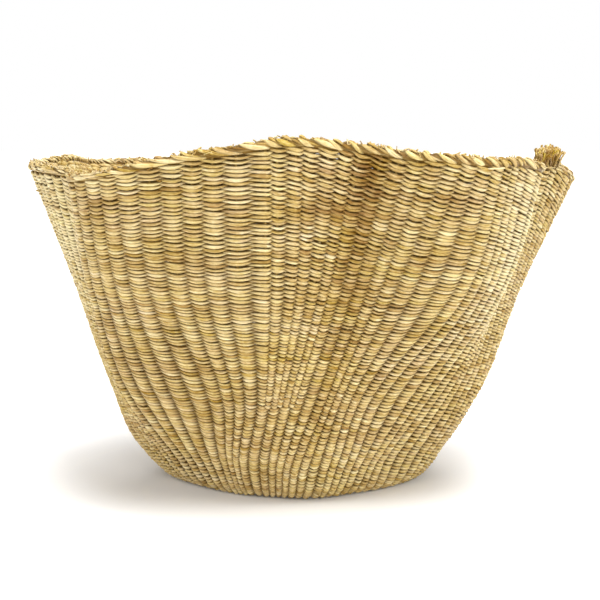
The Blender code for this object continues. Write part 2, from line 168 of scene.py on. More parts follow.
class StrawSizes(bpy.types.PropertyGroup):
    """Sizes of the straw and of its stitches."""
    base_pitch: bpy.props.FloatProperty(
        name="Base pitch", description="Height of one row of the base", default=0.0027, unit="LENGTH")
    turn_pitch: bpy.props.FloatProperty(
        name="Turn pitch", description="Height of one row at the turn", default=0.0023, unit="LENGTH")
    lower_pitch: bpy.props.FloatProperty(
        name="Lower pitch", description="Height of one row of the lower wall",
        default=0.00225, unit="LENGTH")
    middle_pitch: bpy.props.FloatProperty(
        name="Middle pitch", description="Height of one row half way up the wall",
        default=0.0022, unit="LENGTH")
    upper_pitch: bpy.props.FloatProperty(
        name="Upper pitch", description="Height of one row at the foot of the upper wall",
        default=0.0024, unit="LENGTH")
    rim_pitch: bpy.props.FloatProperty(
        name="Rim pitch", description="Height of one row under the rim", default=0.0031, unit="LENGTH")
    thickness: bpy.props.FloatProperty(
        name="Thickness", description="Thickness of a strand of weft", default=0.0023, unit="LENGTH")
    fullness: bpy.props.FloatProperty(
        name="Fullness", description="Height of a stitch as a share of its row",
        default=0.89, subtype="FACTOR")
    slant: bpy.props.FloatProperty(
        name="Slant", description="Fall of a stitch from its left end to its right, as a share of a row",
        default=0.52, subtype="FACTOR")
    crossing: bpy.props.FloatProperty(
        name="Crossing", description="Thickness where two strands cross, as a share of the thickness",
        default=1.65, subtype="FACTOR", max=3.0)
    sag: bpy.props.FloatProperty(
        name="Sag", description="How far a stitch hangs below its ends, as a share of a row",
        default=0.21, subtype="FACTOR")
    stake_radius: bpy.props.FloatProperty(
        name="Stake radius", description="Radius of a stake", default=0.0013, unit="LENGTH")


class StrawColours(bpy.types.PropertyGroup):
    """The colour of the painted shade in the gaps, then the straw's colours from the darkest strands to the
    palest.
    """
    # The gap colour is painted shade between the stitches, not a colour of the straw.
    shadow: bpy.props.FloatVectorProperty(
        name="Gaps", description="Straw deep between the stitches", subtype="COLOR", size=4,
        default=(0.080, 0.033, 0.001, 1.0))
    brown: bpy.props.FloatVectorProperty(
        name="Brown", description="The brownest strands", subtype="COLOR", size=4,
        default=(0.25, 0.130, 0.022, 1.0))
    tan: bpy.props.FloatVectorProperty(
        name="Tan", description="The darker strands", subtype="COLOR", size=4,
        default=(0.44, 0.285, 0.080, 1.0))
    straw: bpy.props.FloatVectorProperty(
        name="Straw", description="Most of the strands", subtype="COLOR", size=4,
        default=(0.63, 0.472, 0.200, 1.0))
    pale: bpy.props.FloatVectorProperty(
        name="Pale", description="The palest strands", subtype="COLOR", size=4,
        default=(0.82, 0.70, 0.40, 1.0))
    roughness: bpy.props.FloatProperty(
        name="Roughness", description="Roughness of the straw's skin", default=0.46, subtype="FACTOR")


class StudioSettings(bpy.types.PropertyGroup):
    """The floor, lamps and camera."""
    floor_colour: bpy.props.FloatVectorProperty(
        name="Floor", description="Colour of the floor", subtype="COLOR", size=4,
        default=(0.86, 0.86, 0.87, 1.0))
    top_power: bpy.props.FloatProperty(
        name="Top lamp", description="Power of the lamp over the front", default=25.5, unit="POWER")
    front_power: bpy.props.FloatProperty(
        name="Front lamp", description="Power of the low lamp before the basket", default=15.0,
        unit="POWER")
    right_power: bpy.props.FloatProperty(
        name="Right lamp", description="Power of the lamp at the right", default=7.0, unit="POWER")
    left_power: bpy.props.FloatProperty(
        name="Left lamp", description="Power of the lamp at the left", default=7.0, unit="POWER")
    back_power: bpy.props.FloatProperty(
        name="Back lamp", description="Power of the lamp behind the basket", default=9.0, unit="POWER")
    sky: bpy.props.FloatProperty(
        name="Sky", description="Strength of the even light from all round", default=0.40)
    camera_distance: bpy.props.FloatProperty(
        name="Camera distance", description="From the basket's middle to the camera",
        default=1.142, unit="LENGTH")
    camera_height: bpy.props.FloatProperty(
        name="Camera height", description="Height of the camera above the floor",
        default=0.277, unit="LENGTH")
    camera_tilt: bpy.props.FloatProperty(
        name="Camera tilt", description="How far the camera looks down", default=math.radians(7.47),
        subtype="ANGLE")
    camera_lens: bpy.props.FloatProperty(
        name="Lens", description="Focal length in millimetres on a 36 mm sensor", default=96.8)


# The skin

def mean_slope(before, after, step_before, step_after):
    """The slope at a knot, from the slopes on its two sides."""
    return (before * step_after + after * step_before) / (step_before + step_after)


def hermite(start, end, slope_start, slope_end, step, share):
    """A smooth curve from start to end with the given slopes, read at a share of the step."""
    left = 1 - share
    return (start * ((1 + 2 * share) * left * left) + slope_start * (share * left * left * step)
            + end * (share * share * (3 - 2 * share)) - slope_end * (share * share * left * step))


class Skin:
    """The basket's outer skin, read at any number of places and stations at once."""

    def __init__(self, shape):
        edge = FLAT_SHARE * shape.turn_radius
        outer = [(shape.turn_radius, shape.turn_height), (shape.lower_radius, shape.lower_height),
                 (shape.middle_radius, shape.middle_height), (shape.rim_radius, shape.rim_height)]
        sizes = np.array([(CENTRE_RADIUS, 0), (INNER_SHARE * edge, 0), (edge, 0)] + outer)
        steps = np.hypot(*np.diff(sizes, axis=0).T)
        self.stations = CENTRE_RADIUS + np.concatenate([[0], np.cumsum(steps)])
        self.steps = steps[:, None, None]
        self.numbers = np.array([row[0] for row in KEY_SHARES])
        self.half_wall = shape.half_wall
        self.top = self.stations[-1] - shape.border_width

        pole = np.array((-POLE_OFFSET, 0, 0))
        rings = [np.array([row[2 + k] for row in KEY_SHARES]) * (radius, radius, height)
                 for k, (radius, height) in enumerate(outer)]
        flat = np.array([row[1] for row in KEY_SHARES])[:, None]
        edge_ring = pole + (rings[0] * (1, 1, 0) - pole) * flat
        spokes = edge_ring - pole
        centre_ring = pole + spokes / np.linalg.norm(spokes, axis=1)[:, None] * CENTRE_RADIUS
        self.rings = np.array([centre_ring, pole + spokes * INNER_SHARE, edge_ring] + rings)
        gaps = (np.roll(self.numbers, -1) - self.numbers) % PLACES
        sides = (np.roll(self.rings, -1, axis=1) - self.rings) / gaps[:, None]
        self.gaps = gaps
        self.slopes = mean_slope(np.roll(sides, 1, axis=1), sides,
                                 np.roll(gaps, 1)[:, None], gaps[:, None])

    def place(self, number, station):
        """The points of the skin at these places and stations."""
        number = (number - self.numbers[0]) % PLACES + self.numbers[0]
        key = np.searchsorted(self.numbers, number, side="right") - 1
        following = (key + 1) % len(self.numbers)
        step = self.gaps[key][:, None]
        share = (number - self.numbers[key])[:, None] / step
        places = hermite(self.rings[:, key], self.rings[:, following],
                         self.slopes[:, key], self.slopes[:, following], step, share)
        sides = np.diff(places, axis=0) / self.steps
        inner = mean_slope(sides[:-1], sides[1:], self.steps[:-1], self.steps[1:])
        before, after = sides[:-1, :, 2], sides[1:, :, 2]
        product = before * after
        total = np.where(product > 0, before + after, 1)
        inner[:, :, 2] = np.where(product > 0, 2 * product / total, 0)
        slopes = np.concatenate([sides[:1], inner, sides[-1:]])
        station = np.clip(station, self.stations[0], self.stations[-1])
        ring = np.clip(np.searchsorted(self.stations, station, side="right") - 1, 0, len(sides) - 1)
        width = self.steps[ring, 0]
        share = (station - self.stations[ring])[:, None] / width
        row = np.arange(len(number))
        return hermite(places[ring, row], places[ring + 1, row],
                       slopes[ring, row], slopes[ring + 1, row], width, share)

    def frame(self, number, station):
        """The middle of the wall there, with steps of one place round, and out and along it."""
        number, station = np.broadcast_arrays(np.asarray(number, float), np.asarray(station, float))
        nudge = 0.0004
        low = np.maximum(station - nudge, self.stations[0])
        high = np.minimum(station + nudge, self.stations[-1])
        along = unit(self.place(number, high) - self.place(number, low))
        round_it = self.place(number + 0.5, station) - self.place(number - 0.5, station)
        out = unit(np.cross(round_it, along))
        return self.place(number, station) - out * self.half_wall, round_it, out, along

    def border(self, number, out_by, up_by):
        """Points of the border above the wall, so far out and up from the wall's top."""
        middle, _, out, along = self.frame(number, np.full(len(number), self.top))
        return middle + out * out_by[:, None] + along * up_by[:, None]

    def band_ends(self):
        """The stations where the base gets more stakes."""
        start, edge = self.stations[0], self.stations[2]
        return [start + share * (edge - start) for share in (FIRST_BAND_SHARE, SECOND_BAND_SHARE)]


def unit(vectors):
    return vectors / np.linalg.norm(vectors, axis=-1, keepdims=True)


def stake_places(added, every=1):
    """Where the stakes stand, in order round the basket: hand-set, so a little out of step."""
    rng = np.random.default_rng(5)
    strays = np.concatenate([rng.normal(0, 0.075, size=PLACES), rng.normal(0, 0.03, size=PLACES)])
    numbers = list(range(0, PLACES, every))
    if added:
        numbers += [place + 0.5 for low, high in ADDED_SPANS for place in range(low, high)]
    numbers = np.sort(np.array(numbers, float))
    whole = numbers == np.floor(numbers)
    return numbers + strays[numbers.astype(int) + np.where(whole, 0, PLACES)]


def place_at(where, stakes):
    """The place round the basket of a count of stakes, whole or not."""
    wrapped = np.append(stakes, stakes[0] + PLACES)
    rounds = np.floor(where / len(stakes))
    return np.interp(where - rounds * len(stakes), np.arange(len(wrapped)), wrapped) + rounds * PLACES


# Strands

# How much more painted shade falls towards the edges of a strand, between it and its neighbours.
EDGE_SHADE = 0.66
MERGE = 1e-7


def new_strand(path, facing, width, thickness, tone, core, reach, hue=0.0, closed=False, flat=None,
               edge_shade=EDGE_SHADE):
    """One strand: its path, which way its broad face looks, its section and its colour.

    Painted shade follows how far each point lies from the core: none at reach, full at the core,
    and more towards a strand's edges. Where flat gives directions, only the distance along them
    counts.
    """
    count = len(path)
    return {"path": path, "facing": facing, "width": np.broadcast_to(width, count),
            "thickness": np.broadcast_to(thickness, count), "tone": np.broadcast_to(tone, count),
            "hue": np.broadcast_to(hue, count), "core": core, "reach": reach, "closed": closed,
            "flat": flat, "edge_shade": edge_shade}


def section_points(strand, sides):
    """The corners of every ring of a strand, and how deep in a gap each lies, which sets its painted shade."""
    path, facing = strand["path"], strand["facing"]
    if strand["closed"]:
        ahead = np.roll(path, -1, axis=0) - np.roll(path, 1, axis=0)
    else:
        ahead = np.gradient(path, axis=0)
    ahead = unit(ahead)
    outward = unit(facing - ahead * (facing * ahead).sum(axis=1, keepdims=True))
    sideways = np.cross(ahead, outward)
    turn = 2 * math.pi * np.arange(sides) / sides
    corners = (path[:, None] + outward[:, None] * (strand["thickness"][:, None] / 2 * np.cos(turn))[..., None]
               + sideways[:, None] * (strand["width"][:, None] / 2 * np.sin(turn))[..., None])
    away = corners - strand["core"][:, None]
    if strand["flat"] is None:
        height = np.linalg.norm(away, axis=2)
    else:
        height = np.abs((away * strand["flat"][:, None]).sum(axis=2))
    height *= 1 - strand["edge_shade"] * np.sin(turn) ** 2
    return corners, np.clip(height / strand["reach"], 0, 1)


def build_strands(name, strands, sides, material, seed):
    """Rolls one grid for each strand into a tube, closes it, and makes one object of them."""
    rng = np.random.default_rng(seed)
    shape = bmesh.new()
    shape.loops.layers.uv.new("straw")
    for strand in strands:
        length = len(strand["path"]) - (0 if strand["closed"] else 1)
        bmesh.ops.create_grid(shape, x_segments=length, y_segments=sides, size=0.5, calc_uvs=True)
    mesh = bpy.data.meshes.new(name)
    shape.to_mesh(mesh)
    shape.free()

    grid = np.empty(len(mesh.vertices) * 3, np.float32)
    mesh.vertices.foreach_get("co", grid)
    grid = grid.reshape(-1, 3)
    uv = np.empty(len(mesh.loops) * 2, np.float32)
    mesh.uv_layers["straw"].data.foreach_get("uv", uv)
    uv = uv.reshape(-1, 2)
    tone, hue, gap_shade_depth = (np.empty(len(grid), np.float32) for _ in range(3))
    first, first_loop = 0, 0
    for strand in strands:
        rings = len(strand["path"])
        length = rings - (0 if strand["closed"] else 1)
        corners, deep = section_points(strand, sides)
        last = first + (length + 1) * (sides + 1)
        ring = np.rint((grid[first:last, 0] + 0.5) * length).astype(int) % rings
        side = np.rint((grid[first:last, 1] + 0.5) * sides).astype(int) % sides
        grid[first:last] = corners[ring, side]
        tone[first:last] = strand["tone"][ring]
        hue[first:last] = strand["hue"][ring]
        gap_shade_depth[first:last] = deep[ring, side]
        steps = np.linalg.norm(np.diff(strand["path"], axis=0), axis=1).sum()
        last_loop = first_loop + 4 * length * sides
        uv[first_loop:last_loop, 0] = uv[first_loop:last_loop, 0] * steps * 100 + rng.uniform(0, 900)
        first, first_loop = last, last_loop
    mesh.vertices.foreach_set("co", grid.ravel())
    mesh.uv_layers["straw"].data.foreach_set("uv", uv.ravel())
    for attribute, values in (("tone", tone), ("hue", hue), ("gap_shade_depth", gap_shade_depth)):
        mesh.attributes.new(attribute, "FLOAT", "POINT").data.foreach_set("value", values)

    shape = bmesh.new()
    shape.from_mesh(mesh)
    bmesh.ops.remove_doubles(shape, verts=shape.verts, dist=MERGE)
    ends = [edge for edge in shape.edges if edge.is_boundary]
    if ends:
        bmesh.ops.holes_fill(shape, edges=ends, sides=0)
    bmesh.ops.recalc_face_normals(shape, faces=shape.faces)
    shape.to_mesh(mesh)
    shape.free()
    mesh.shade_smooth()
    mesh.materials.append(material)
    thing = bpy.data.objects.new(name, mesh)
    bpy.context.scene.collection.objects.link(thing)
    return thing


def straw_runs(rng, columns, count, middle, spread):
    """A value along one strand: one straw after another, each a little different."""
    ends = np.cumsum(rng.integers(4, 13, size=count))
    values = rng.normal(middle, spread, size=count + 1)
    return values[np.searchsorted(ends, columns) % (count + 1)]


def patch_tone(number, station):
    """How much paler or browner the wall is painted in its patches, with the crease's painted shade among them.
    """
    total = np.zeros_like(station)
    for place, height, wide, tall, strength in TONE_AND_SHADE_PATCHES:
        round_it = ((number - place + PLACES / 2) % PLACES - PLACES / 2) / wide
        total += strength * np.exp(-round_it ** 2 - ((station - height) / tall) ** 2)
    return total


def row_sway(number, station):
    """How far a row strays up or down from its own station."""
    turn = 2 * math.pi * number / PLACES
    return 0.0005 * (np.sin(5 * turn + 60 * station) + 0.7 * np.sin(11 * turn - 95 * station + 1.3)
                     + 0.5 * np.sin(17 * turn + 140 * station + 4.0))


STITCH_STEPS = np.array([-0.5, -0.36, -0.18, 0.0, 0.18, 0.36])
INNER_PACKING = 1.65
END_WIDTH = 0.58
SQUARENESS = 1.2

# What a tight row at the foot of the wall adds to, or takes from, an open one at the rim, in shares.
TIGHT_FULLER, TIGHT_ENDS, TIGHT_THINNER, TIGHT_LEVEL, TIGHT_EDGE, TIGHT_ROUND = 0.18, 0.32, 0.66, 0.5, 0.42, 0.85


def weft_strands(skin, straw, start, end, pitch, tight, every, added, seed):
    """Both strands of every row of weft between two stations.

    Tight runs from none, for long pointed stitches that overlap, to one, for rows pressed close
    into round ribs with deep grooves between them.
    """
    crossing = straw.crossing * (1 - TIGHT_THINNER * tight)
    fullness = straw.fullness + TIGHT_FULLER * tight
    ends = END_WIDTH + TIGHT_ENDS * tight
    slant, sag = (value * (1 - TIGHT_LEVEL * tight) for value in (straw.slant, straw.sag))
    square = SQUARENESS * (1 - TIGHT_ROUND * tight)
    edge_shade = EDGE_SHADE * (1 - TIGHT_EDGE * tight)
    stakes = stake_places(added, every)
    columns = len(stakes)
    where = (np.arange(columns)[:, None] + STITCH_STEPS).ravel()
    number = place_at(where, stakes)
    rows = max(1, round((end - start) / pitch))
    pitch = (end - start) / rows
    reach = skin.half_wall - straw.thickness / 2
    rng = np.random.default_rng(seed)
    strands = []
    for row in range(rows):
        middle = start + (row + 0.5) * pitch
        drift = rng.normal(0, 0.06 * pitch, size=columns)
        for strand in range(2):
            phase = math.pi * (where + strand)
            swing = np.cos(phase)
            fat = np.abs(swing)
            swell = rng.normal(1.0, 0.12, size=columns) * rng.normal(1.0, 0.05)
            swell *= np.where(rng.random(columns) < 0.07, 0.66, 1)
            stitches = (rng.normal(0, 0.075 * pitch, size=columns) + drift, swell,
                        rng.normal(0, 0.00016, size=columns), rng.normal(0, 0.22, size=columns),
                        rng.normal(0, 0.07, size=columns))
            lift, swell, push, lean, shade = (
                np.interp(where, np.arange(columns), value, period=columns) for value in stitches)
            station = middle + row_sway(number, np.full_like(number, middle))
            core, _, out, along = skin.frame(number, station)
            out_by = reach * np.tanh(square * swing) / math.tanh(square) + push
            up_by = -pitch * (slant / 2 * np.sin(phase) + sag * fat) + lift
            path = core + out * out_by[:, None] + along * up_by[:, None]
            swell = np.where(swing < 0, INNER_PACKING * np.maximum(swell, 1), swell)
            width = pitch * (ends + (fullness * swell - ends) * fat ** 1.15)
            thickness = straw.thickness * (crossing + (1 - crossing) * fat)
            tone = straw_runs(rng, where, columns, 0.54, 0.09) + shade + patch_tone(number, station)
            hue = straw_runs(rng, where, columns, 0.0, 0.17)
            strands.append(new_strand(path, unit(out + along * lean[:, None]), width, thickness, tone,
                                      core, skin.half_wall, hue, closed=True, flat=out,
                                      edge_shade=edge_shade))
    return strands


# Materials

def link(tree, source, target):
    tree.links.new(source, target)


def math_node(tree, operation, first, *numbers):
    """A Math node on one linked input and up to two numbers."""
    node = tree.nodes.new("ShaderNodeMath")
    node.operation = operation
    link(tree, first, node.inputs[0])
    for place, number in enumerate(numbers):
        node.inputs[place + 1].default_value = number
    return node.outputs["Value"]


def sum_node(tree, first, second):
    node = tree.nodes.new("ShaderNodeMath")
    node.operation = "ADD"
    link(tree, first, node.inputs[0])
    link(tree, second, node.inputs[1])
    return node.outputs["Value"]


def read_attribute(tree, name):
    node = tree.nodes.new("ShaderNodeAttribute")
    node.attribute_name = name
    return node.outputs["Fac"]


def straw_material(name, colours, darker=0.0, striations=1.1):
    """Straw: fine lines along each strand, a tone of its own for each straw, and painted shade in the gaps."""
    material = bpy.data.materials.new(name)
    material.use_nodes = True
    tree = material.node_tree
    shader = tree.nodes["Principled BSDF"]
    shader.inputs["Specular IOR Level"].default_value = 0.14
    shader.inputs["Roughness"].default_value = colours.roughness

    uv = tree.nodes.new("ShaderNodeUVMap")
    uv.uv_map = "straw"
    stretch = tree.nodes.new("ShaderNodeMapping")
    stretch.inputs["Scale"].default_value = (0.9, 13.0, 1.0)
    link(tree, uv.outputs["UV"], stretch.inputs["Vector"])
    fibres = tree.nodes.new("ShaderNodeTexNoise")
    fibres.noise_dimensions = "2D"
    fibres.inputs["Scale"].default_value = 1.0
    fibres.inputs["Detail"].default_value = 3.0
    fibres.inputs["Roughness"].default_value = 0.6
    link(tree, stretch.outputs["Vector"], fibres.inputs["Vector"])

    place = tree.nodes.new("ShaderNodeTexCoord")
    blotches = tree.nodes.new("ShaderNodeTexNoise")
    blotches.inputs["Scale"].default_value = 28.0
    blotches.inputs["Detail"].default_value = 4.0
    link(tree, place.outputs["Object"], blotches.inputs["Vector"])
    broad = tree.nodes.new("ShaderNodeTexNoise")
    broad.inputs["Scale"].default_value = 34.0
    broad.inputs["Detail"].default_value = 1.0
    link(tree, place.outputs["Object"], broad.inputs["Vector"])
    specks = tree.nodes.new("ShaderNodeTexNoise")
    specks.inputs["Scale"].default_value = 420.0
    specks.inputs["Detail"].default_value = 2.0
    link(tree, place.outputs["Object"], specks.inputs["Vector"])

    total = math_node(tree, "SUBTRACT", read_attribute(tree, "tone"), darker)
    for texture, weight in ((fibres, striations), (blotches, 0.30), (specks, 0.40)):
        total = sum_node(tree, total, math_node(tree, "MULTIPLY_ADD", texture.outputs["Fac"],
                                                weight, -weight / 2))

    ramp = tree.nodes.new("ShaderNodeValToRGB")
    stops = ((0.05, colours.brown), (0.32, colours.tan), (0.58, colours.straw), (0.92, colours.pale))
    while len(ramp.color_ramp.elements) < len(stops):
        ramp.color_ramp.elements.new(0.5)
    for element, (position, colour) in zip(ramp.color_ramp.elements, stops):
        element.position = position
        element.color = colour
    link(tree, total, ramp.inputs["Fac"])
    turned = tree.nodes.new("ShaderNodeHueSaturation")
    link(tree, ramp.outputs["Color"], turned.inputs["Color"])
    hue = sum_node(tree, read_attribute(tree, "hue"),
                   math_node(tree, "MULTIPLY_ADD", broad.outputs["Fac"], 1.0, -0.5))
    link(tree, math_node(tree, "MULTIPLY_ADD", hue, 0.013, 0.5), turned.inputs["Hue"])
    link(tree, math_node(tree, "MULTIPLY_ADD", hue, 0.14, 1.0), turned.inputs["Saturation"])

    # Painted shade: the deeper a point lies in a gap, the more its colour turns to the gap colour.
    shade = tree.nodes.new("ShaderNodeMapRange")
    shade.inputs["From Min"].default_value = 0.08
    shade.inputs["From Max"].default_value = 0.70
    shade.inputs["To Min"].default_value = 0.95
    shade.inputs["To Max"].default_value = 0.0
    link(tree, read_attribute(tree, "gap_shade_depth"), shade.inputs["Value"])
    mix = tree.nodes.new("ShaderNodeMix")
    mix.data_type = "RGBA"
    link(tree, shade.outputs["Result"], mix.inputs["Factor"])
    link(tree, turned.outputs["Color"], mix.inputs[6])
    mix.inputs[7].default_value = colours.shadow
    link(tree, mix.outputs[2], shader.inputs["Base Color"])

    bump = tree.nodes.new("ShaderNodeBump")
    bump.inputs["Strength"].default_value = 0.8
    bump.inputs["Distance"].default_value = 0.0003
    link(tree, fibres.outputs["Fac"], bump.inputs["Height"])
    link(tree, bump.outputs["Normal"], shader.inputs["Normal"])
    return material


def material_named(name, colours, **settings):
    return bpy.data.materials.get(name) or straw_material(name, colours, **settings)


def finish_piece(piece, slot, *nodes):
    """Puts a piece on the basket's one body in place of the frame's solids, which it hides. The slot is not
    used.
    """
    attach(piece, "root")
    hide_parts(*nodes)


def rim_foot(shape):
    """How far above the frame's wall the rows go on, up to the foot of the plait."""
    return shape.border_width - shape.plait_width


def rim_core(skin, stakes, shape):
    """The stakes bent over along the top of the wall, which the rim is plaited round."""
    half = shape.plait_width / 2
    number = place_at(np.arange(len(stakes) * 4) / 4, stakes)
    path = skin.border(number, np.zeros_like(number), np.full_like(number, rim_foot(shape) + half - 0.0010))
    _, _, out, _ = skin.frame(number, np.full_like(number, skin.top))
    # Its low tone and its nearness to its own core paint it dark, as shade behind the plait.
    return new_strand(path, out, 2 * half + 0.0004, 0.0036, 0.30, path, 2 * half, closed=True)


def rim_strand(skin, stakes, shape, column, across, angles, radii, width, thickness, tone, hue):
    """A straw over the rim: in degrees, 180 is inside, 90 on top and 0 outside."""
    middle = rim_foot(shape) + shape.plait_width / 2
    run = np.linspace(0, 1, 11)
    angle = np.radians(angles[0] + (angles[1] - angles[0]) * run)
    number = place_at(column + across * run ** 1.3, stakes)
    path = skin.border(number, radii[0] * np.cos(angle), middle + radii[1] * np.sin(angle))
    core = skin.border(number, np.zeros_like(run), np.full_like(run, middle))
    taper = 0.25 + 0.75 * np.sin(math.pi * run) ** 0.8
    # Painted shade darkens it towards the rim's middle line and at its edges.
    return new_strand(path, unit(path - core), width * taper, thickness * (0.6 + 0.4 * taper), tone,
                      core, 0.0034, hue)


# Pieces

def weft_piece(context, name, start, end, nodes, pitch, tight=0.9, every=1, added=False, seed=1):
    scene = context.scene
    skin = Skin(scene.basket_shape)
    strands = weft_strands(skin, scene.basket_straw, start, end, pitch, tight, every, added, seed)
    material = material_named("twined_straw", scene.basket_colours)
    piece = build_strands(name, strands, 6, material, seed)
    finish_piece(piece, "weft_straw", *nodes)
    return piece


def weft_pieces(context, name, start, end, node, pitches, tights, count, added, seed):
    """One band of the wall in several pieces, from the first pitch and tightness to the last."""
    ends = np.linspace(start, end, count + 1)
    for part in range(count):
        share = (part + 0.5) / count
        pitch, tight = (low + (high - low) * share for low, high in (pitches, tights))
        weft_piece(context, f"{name}_{part + 1}", ends[part], ends[part + 1], [node], pitch, tight,
                   added=added, seed=seed + part)


class BASKET_OT_twine_base(bpy.types.Operator):
    """Twine the base: three bands of rows, each with twice the stakes of the one before"""
    bl_idname = "basket.twine_base"
    bl_label = "Twine base"

    def execute(self, context):
        skin = Skin(context.scene.basket_shape)
        pitch = context.scene.basket_straw.base_pitch
        first, second = skin.band_ends()
        start, _, edge, *_ = skin.stations
        weft_piece(context, "base_start_rows", start, first, ["base_start_weft"], pitch, every=4, seed=11)
        weft_piece(context, "base_inner_rows", first, second, ["base_inner_weft"], pitch, every=2, seed=12)
        weft_piece(context, "base_outer_rows", second, edge, ["base_outer_weft"], pitch, seed=13)
        return {"FINISHED"}


class BASKET_OT_twine_wall(bpy.types.Operator):
    """Twine the wall: the turn, then the lower, middle and upper rows"""
    bl_idname = "basket.twine_wall"
    bl_label = "Twine wall"

    def execute(self, context):
        straw = context.scene.basket_straw
        skin = Skin(context.scene.basket_shape)
        _, _, edge, turn, lower, middle, _ = skin.stations
        low, mid = straw.lower_pitch, straw.middle_pitch
        top = skin.top + rim_foot(context.scene.basket_shape) + straw.sag * straw.rim_pitch
        weft_piece(context, "turn_rows", edge, turn, ["turn_weft"], straw.turn_pitch, 1.0, seed=21)
        weft_pieces(context, "lower_wall_rows", turn, lower, "lower_wall_weft", (low, low), (1.0, 0.95),
                    2, False, 31)
        weft_pieces(context, "middle_wall_rows", lower, middle, "middle_wall_weft", (mid, mid), (0.9, 0.5),
                    3, True, 41)
        weft_pieces(context, "upper_wall_rows", middle, top, "upper_wall_weft",
                    (straw.upper_pitch, straw.rim_pitch), (0.5, -0.1), 3, True, 51)
        return {"FINISHED"}


class BASKET_OT_set_stakes(bpy.types.Operator):
    """Set the stakes that the rows are twined round"""
    bl_idname = "basket.set_stakes"
    bl_label = "Set stakes"

    def execute(self, context):
        scene = context.scene
        skin = Skin(scene.basket_shape)
        first, second = skin.band_ends()
        lower = skin.stations[4]
        main, added = stake_places(False), np.setdiff1d(stake_places(True), stake_places(False))
        starts = [(number, skin.stations[0] if count % 4 == 0 else first if count % 2 == 0 else second)
                  for count, number in enumerate(main)]
        starts += [(number, lower) for number in added]
        rng = np.random.default_rng(31)
        strands = []
        radius = scene.basket_straw.stake_radius
        for number, start in starts:
            station = np.linspace(start, skin.top + 0.003, max(12, round((skin.top - start) / 0.006)))
            core, _, out, _ = skin.frame(np.full(len(station), float(number)), station)
            # Stakes lie deep in the wall, so each is painted part way to the gap shade.
            strands.append(new_strand(core, out, 2 * radius, 2 * radius, rng.normal(0.42, 0.1),
                                      core, 2.2 * radius))
        material = material_named("split_straw", scene.basket_colours, darker=0.1)
        piece = build_strands("stakes", strands, 5, material, 31)
        nodes = [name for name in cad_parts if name.startswith(("stake_", "added_stake_"))]
        finish_piece(piece, "stake_straw", *nodes)
        return {"FINISHED"}


class BASKET_OT_weave_centre(bpy.types.Operator):
    """Weave the crossed straws in the middle of the base"""
    bl_idname = "basket.weave_centre"
    bl_label = "Weave centre"

    def execute(self, context):
        scene = context.scene
        half_wall = scene.basket_shape.half_wall
        rng = np.random.default_rng(41)
        pitch = 0.0034
        lanes = range(-3, 4)
        strands = []
        for direction in range(2):
            for lane in lanes:
                reach = math.sqrt(max((CENTRE_RADIUS + 0.001) ** 2 - (lane * pitch) ** 2, 0))
                run = np.linspace(-reach, reach, 25)
                wave = np.cos(math.pi * (run / pitch + lane + direction))
                height = half_wall + (half_wall - 0.0010) * 0.6 * wave
                side = np.full_like(run, lane * pitch)
                flat = (run, side) if direction == 0 else (side, run)
                path = np.stack([flat[0] - POLE_OFFSET, flat[1], height], axis=1)
                facing = np.tile((0.0, 0.0, 1.0), (len(run), 1))
                # Painted shade darkens each strand where it dips towards the middle of the weave.
                core = path * (1, 1, 0) + (0, 0, half_wall)
                strands.append(new_strand(path, facing, 0.0032, 0.0018, rng.normal(0.5, 0.1),
                                          core, half_wall, rng.normal(0, 0.4), flat=facing))
        material = material_named("split_straw", scene.basket_colours, darker=0.1)
        piece = build_strands("base_crossing", strands, 6, material, 41)
        finish_piece(piece, "stake_straw", "base_centre")
        return {"FINISHED"}


class BASKET_OT_plait_rim(bpy.types.Operator):
    """Plait the border along the rim, with the stakes' ends tucked in over it"""
    bl_idname = "basket.plait_rim"
    bl_label = "Plait rim"

    def execute(self, context):
        scene = context.scene
        skin = Skin(scene.basket_shape)
        rng = np.random.default_rng(51)
        stakes = stake_places(True)
        columns = len(stakes)
        shape = scene.basket_shape
        high = shape.plait_width / 2 - 0.0008

        def lay(column, across, angles, out, up, width, thickness, tone):
            strands.append(rim_strand(
                skin, stakes, shape, column + rng.normal(0, 0.09), across * rng.normal(1, 0.13),
                rng.normal(0, 8) + np.array(angles), (out + rng.normal(0, 0.0003), up + rng.normal(0, 0.0003)),
                width * rng.normal(1, 0.12), thickness, tone + rng.normal(0, 0.12), rng.normal(0, 0.2)))

        strands = [rim_core(skin, stakes, shape)]
        for column in range(columns):
            place = stakes[column]
            long = math.exp(-((place - 3) / 4) ** 2)
            if rng.random() < math.exp(-((place - 10.5) / 12.5) ** 12):
                lay(column, 1.1 + 0.8 * long, (112, -80), 0.0029, high, 0.0031, 0.0027, 0.56)
                # This deeper straw fills the gaps between the chunky ones; its low tone and its nearness to the
                # rim's core paint it as shade.
                lay(column + 0.5, 1.0 + 0.6 * long, (125, -75), 0.0021, high - 0.0006, 0.0020, 0.0016, 0.30)
                lay(column + 0.3, 0.45, (120, 30), 0.0024, high + 0.0009, 0.0024, 0.0020, 0.40)
            else:
                for turn, level in enumerate((60, 12, -36)):
                    lay(column + 0.5 * turn, 1.1, (level + 9, level - 9), 0.0026, high, 0.0021, 0.0016, 0.60)
                lay(column + 0.35, 0.4, (120, 40), 0.0023, high + 0.0006, 0.0018, 0.0015, 0.45)
            for shift in (0.0, 0.33, 0.67):
                lay(column + shift, -0.8, (75, 255), 0.0026, high, 0.0018, 0.0015, 0.70)
        material = material_named("twined_straw", scene.basket_colours)
        piece = build_strands("rim_plait", strands, 8, material, 51)
        finish_piece(piece, "weft_straw", "rim_border")
        return {"FINISHED"}


